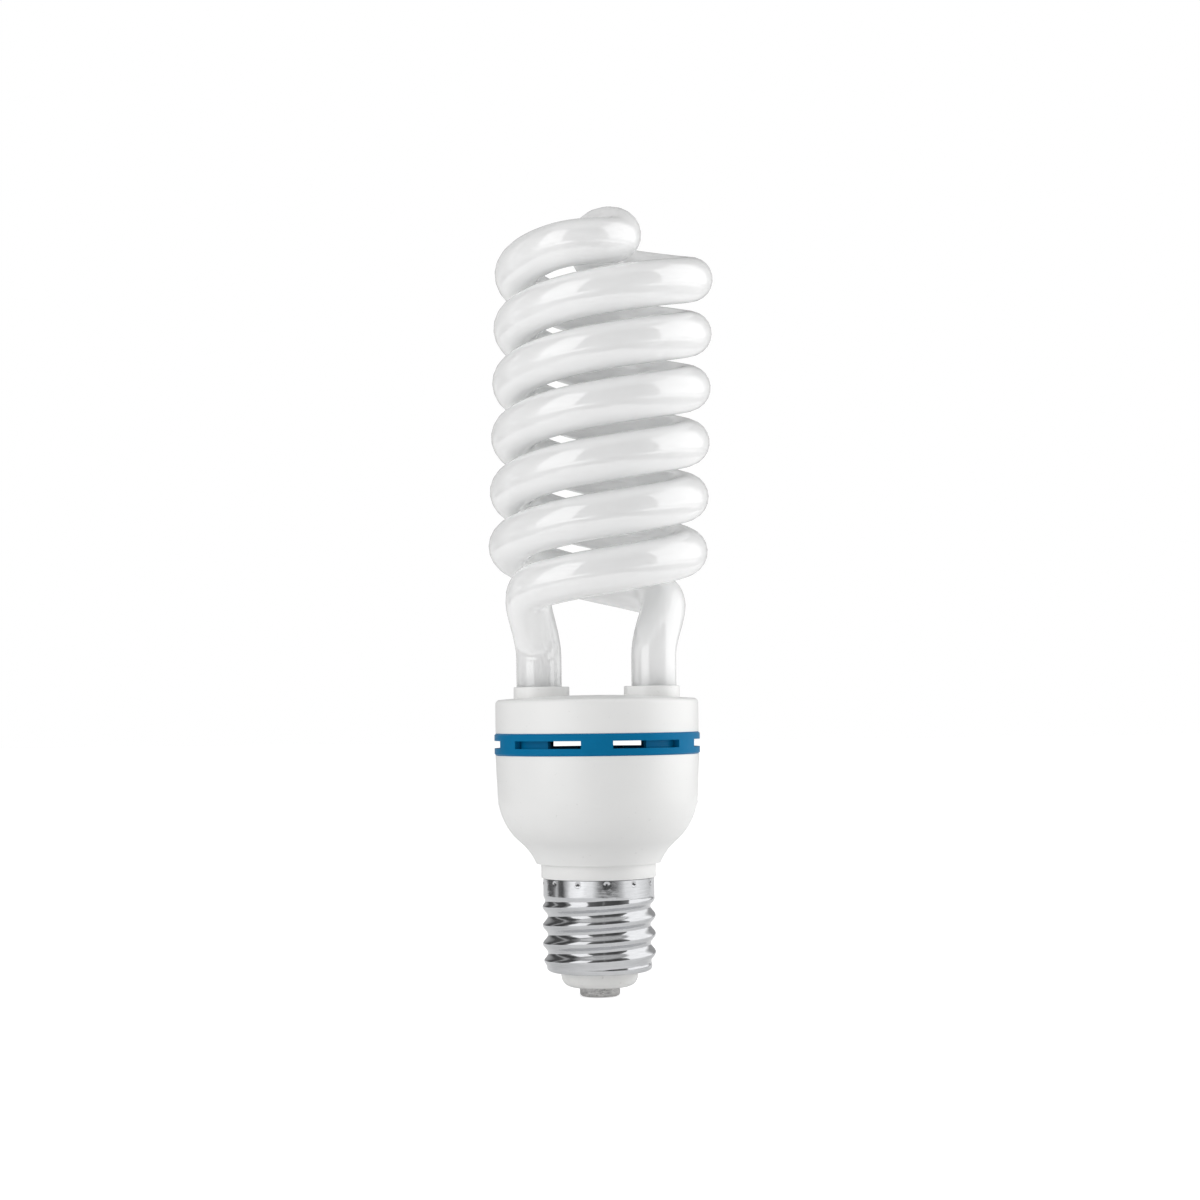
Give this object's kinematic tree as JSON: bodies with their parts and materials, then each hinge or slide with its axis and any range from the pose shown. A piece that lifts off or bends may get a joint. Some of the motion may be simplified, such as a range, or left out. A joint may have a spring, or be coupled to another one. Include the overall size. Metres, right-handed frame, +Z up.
{
  "type": "spiral energy saving bulb",
  "caption": "Large compact fluorescent lamp: twin-coil white glass tube on a white ballast housing with a blue vent ring and a mogul screw cap.",
  "frame": {"origin": "centre of the end contact's outer face, on the screw cap's axis", "axes": "+Z up the cap's axis towards the glass tube, X from leg to leg of the tube, -Y the side seen from the front"},
  "size_m": [0.0794, 0.0764, 0.2751],
  "materials": {
    "coated_glass": "glossy white coating seen through clear glass",
    "white_plastic": "satin gloss moulding",
    "blue_plastic": "satin gloss moulding",
    "plated_shell": "bright nickel plate",
    "white_insulator": "smooth glazed",
    "tin_contact": "dull soldered face",
    "white_cement": "matt silicone",
    "board_laminate": "matt tan laminate",
    "pin_metal": "tinned",
    "ferrite": "matt dark ferrite",
    "bobbin_plastic": "matt black",
    "copper_winding": "lacquered copper",
    "winding_tape": "yellow tape",
    "capacitor_sleeve": "shrunk sleeve",
    "film_dip": "dipped resin",
    "black_epoxy": "matt moulded",
    "sink_aluminium": "mill finish",
    "fuse_glass": "clear",
    "thermistor_dip": "matt lacquer",
    "red_wire": "smooth",
    "black_wire": "smooth"
  },
  "bodies": {
    "root": {"glass_tube": "coated_glass", "upper_cover": "white_plastic", "vent_ring": "blue_plastic", "lower_housing": "white_plastic", "cap_shell": "plated_shell", "cap_insulator": "white_insulator", "centre_contact": "tin_contact", "left_tube_cement": "white_cement", "right_tube_cement": "white_cement", "circuit_board": "board_laminate", "wrap_pins": "pin_metal", "left_electrode_leads": "pin_metal", "right_electrode_leads": "pin_metal", "smoothing_capacitor": "capacitor_sleeve", "lamp_choke_core": "ferrite", "lamp_choke_bobbin": "bobbin_plastic", "lamp_choke_winding": "winding_tape", "filter_choke_core": "ferrite", "filter_choke_winding": "copper_winding", "drive_toroid_core": "ferrite", "drive_toroid_windings": "copper_winding", "heat_sink": "sink_aluminium", "left_switching_transistor": "black_epoxy", "right_switching_transistor": "black_epoxy", "rectifier_diodes": "black_epoxy", "fuse": "fuse_glass", "thermistor": "thermistor_dip", "live_wire": "red_wire", "neutral_wire": "black_wire", "resonance_capacitor": "film_dip", "coupling_capacitor": "film_dip", "snubber_capacitor": "film_dip"}
  },
  "joints": []
}
